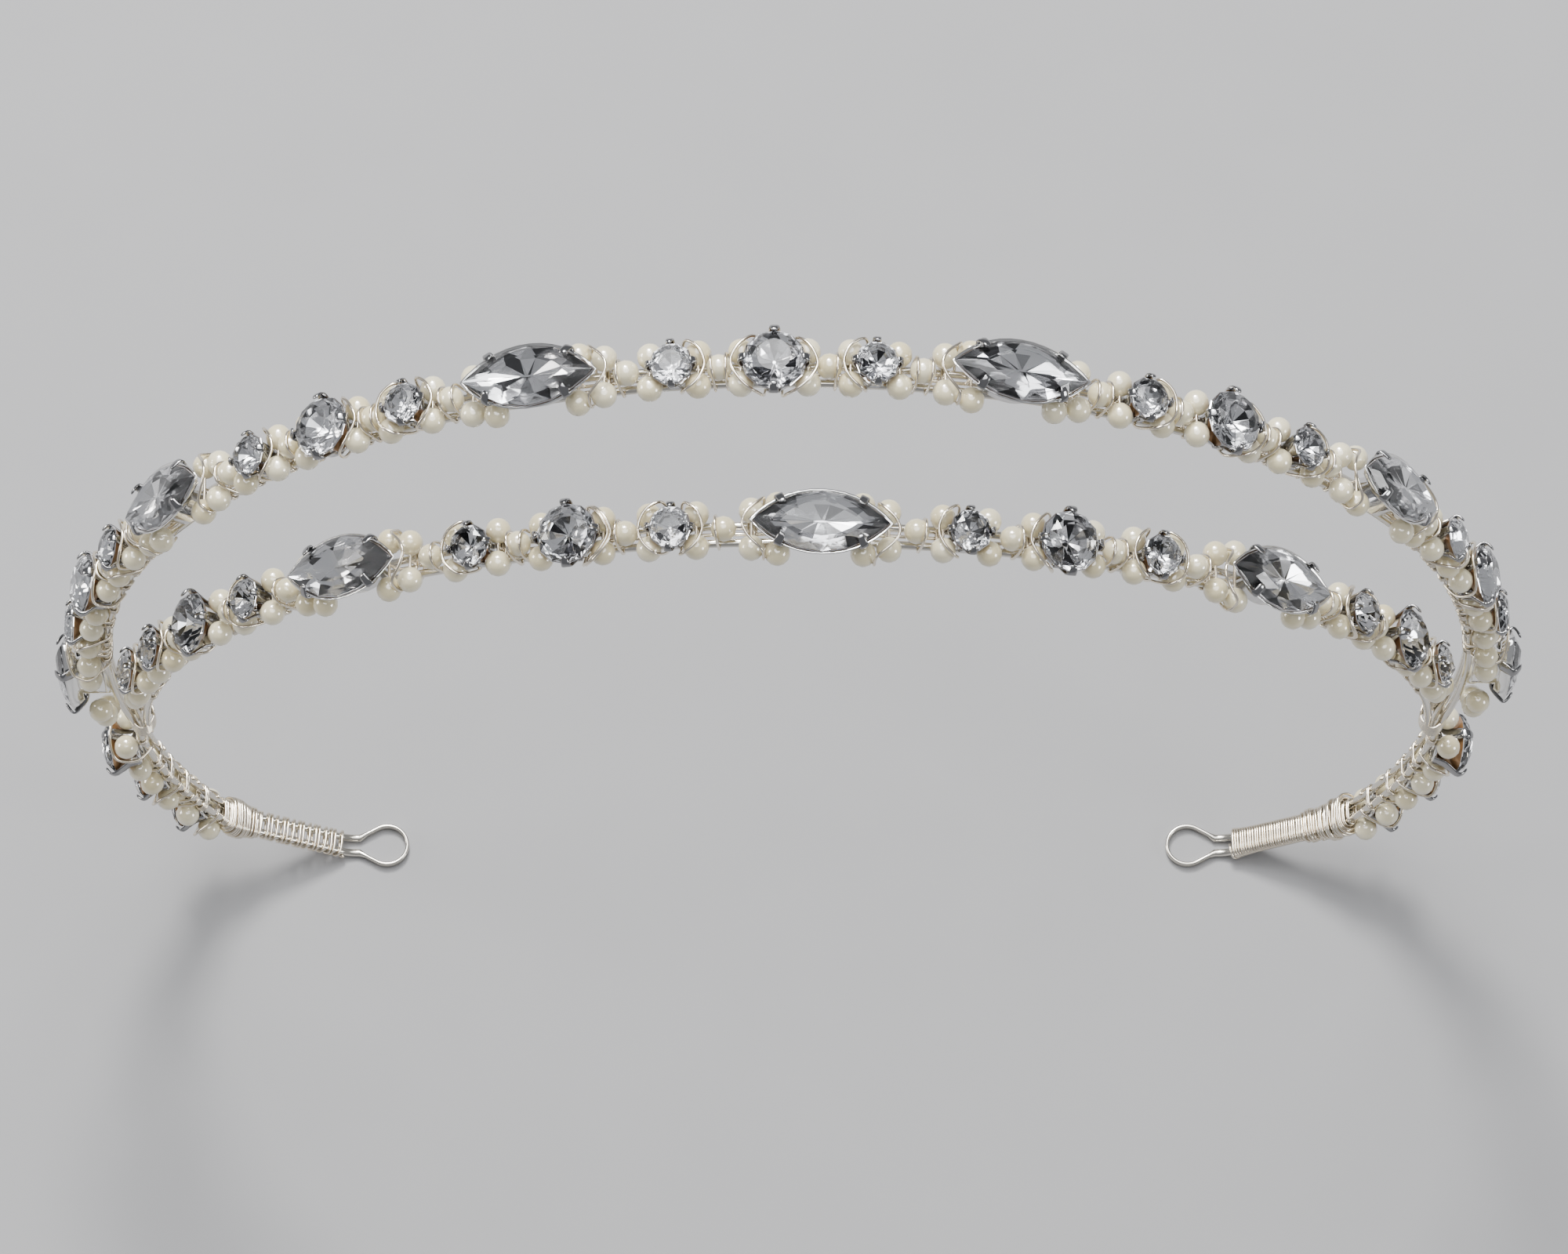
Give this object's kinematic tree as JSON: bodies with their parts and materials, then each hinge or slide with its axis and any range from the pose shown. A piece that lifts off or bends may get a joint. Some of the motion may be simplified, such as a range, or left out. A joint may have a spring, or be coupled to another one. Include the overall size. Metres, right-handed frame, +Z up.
{
  "type": "bridal headband",
  "caption": "Double bridal headband of claw-set clear crystals and ivory pearls on silver wire bands that join in wire-wrapped ends with loops.",
  "frame": {"origin": "middle of the bounding box in X and Y, on the surface the two loops stand on", "axes": "+X from the left end to the right end, +Y towards the taller rear band, +Z up"},
  "size_m": [0.1673, 0.017, 0.1416],
  "materials": {
    "wire": "bright silver-plated wire",
    "fine_wire": "bright fine wire, pale champagne silver",
    "setting": "polished silver plate",
    "pearl": "ivory pearl lustre, satin",
    "crystal": "clear cut crystal, foiled at the back"
  },
  "bodies": {
    "root": {"binding_left": "fine_wire", "binding_right": "fine_wire", "frame_wire": "wire", "front_large_11": "crystal", "front_large_15": "crystal", "front_large_3": "crystal", "front_large_7": "crystal", "front_marquise_13": "crystal", "front_marquise_5": "crystal", "front_marquise_9": "crystal", "front_rails": "wire", "front_small_1": "crystal", "front_small_10": "crystal", "front_small_12": "crystal", "front_small_14": "crystal", "front_small_16": "crystal", "front_small_2": "crystal", "front_small_4": "crystal", "front_small_6": "crystal", "front_small_8": "crystal", "left_large_1": "crystal", "left_small_2": "crystal", "left_small_3": "crystal", "loop_left": "wire", "loop_right": "wire", "pearls_front": "pearl", "pearls_rear": "pearl", "rear_large_11": "crystal", "rear_large_15": "crystal", "rear_large_19": "crystal", "rear_large_3": "crystal", "rear_large_7": "crystal", "rear_marquise_1": "crystal", "rear_marquise_13": "crystal", "rear_marquise_17": "crystal", "rear_marquise_21": "crystal", "rear_marquise_5": "crystal", "rear_marquise_9": "crystal", "rear_small_10": "crystal", "rear_small_12": "crystal", "rear_small_14": "crystal", "rear_small_16": "crystal", "rear_small_18": "crystal", "rear_small_2": "crystal", "rear_small_20": "crystal", "rear_small_4": "crystal", "rear_small_6": "crystal", "rear_small_8": "crystal", "right_large_1": "crystal", "right_small_2": "crystal", "right_small_3": "crystal", "settings_ends": "setting", "settings_front": "setting", "settings_rear": "setting", "thread_front": "fine_wire", "thread_rear": "fine_wire", "wrap_left": "fine_wire", "wrap_right": "fine_wire"}
  },
  "joints": []
}
